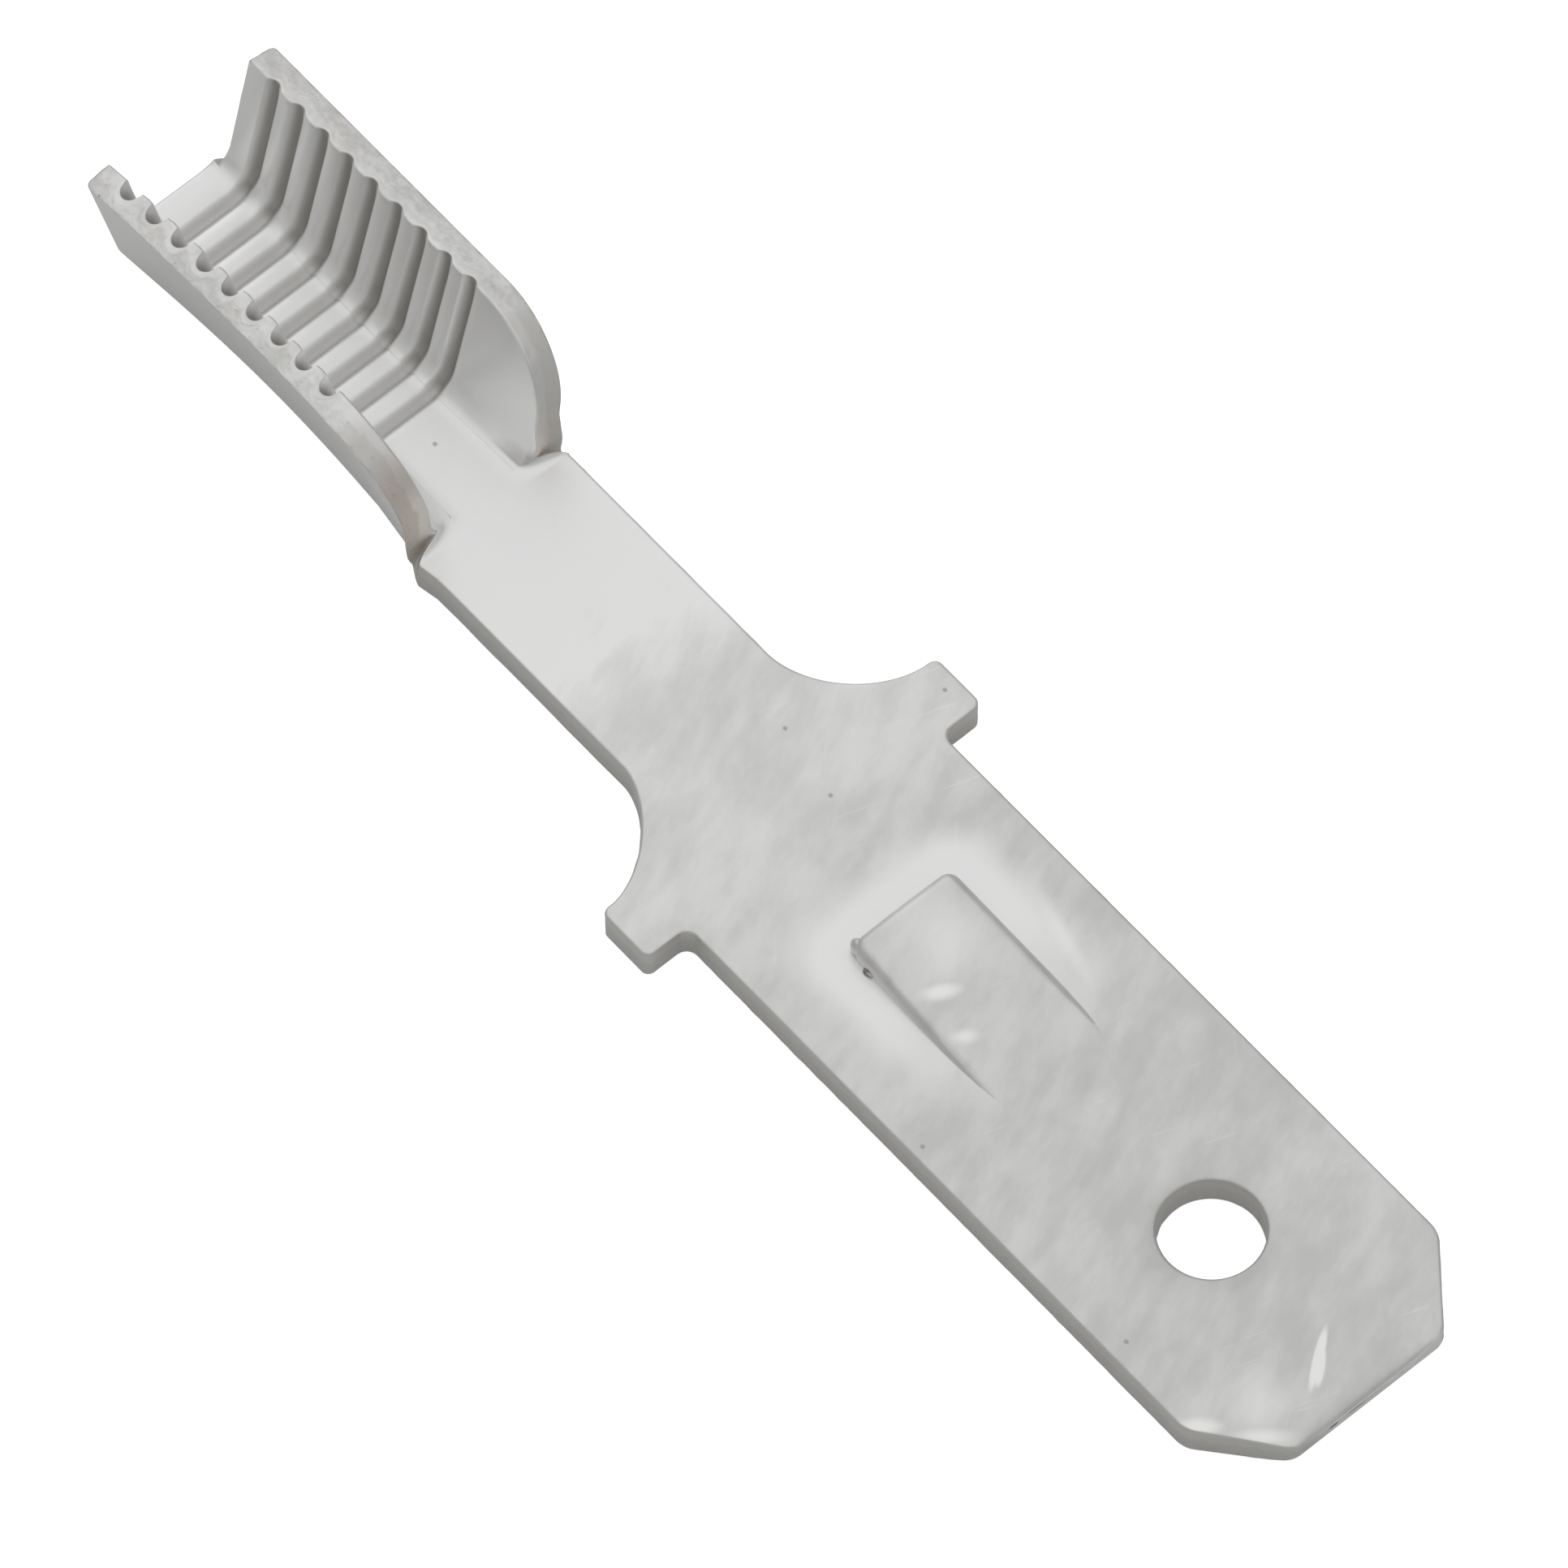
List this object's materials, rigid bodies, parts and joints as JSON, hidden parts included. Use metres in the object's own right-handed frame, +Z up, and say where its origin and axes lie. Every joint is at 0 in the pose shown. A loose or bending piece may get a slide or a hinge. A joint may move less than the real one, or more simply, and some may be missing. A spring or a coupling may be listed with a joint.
{
  "type": "male spade terminal",
  "caption": "Flat male tab connector with stop ears, a locking lance and an open crimp barrel with pressed serrations, folded from one sheet of metal.",
  "frame": {"origin": "middle of the underside's plan, on the surface that it lies on", "axes": "+X from the crimp barrel to the tab's tip, +Y across the tab, +Z up towards the open side of the barrel"},
  "size_m": [0.0342, 0.0082, 0.0038],
  "materials": {
    "tin_plate": "satin tin plating over brass sheet"
  },
  "bodies": {
    "root": {"spade_terminal": "tin_plate"}
  },
  "joints": []
}
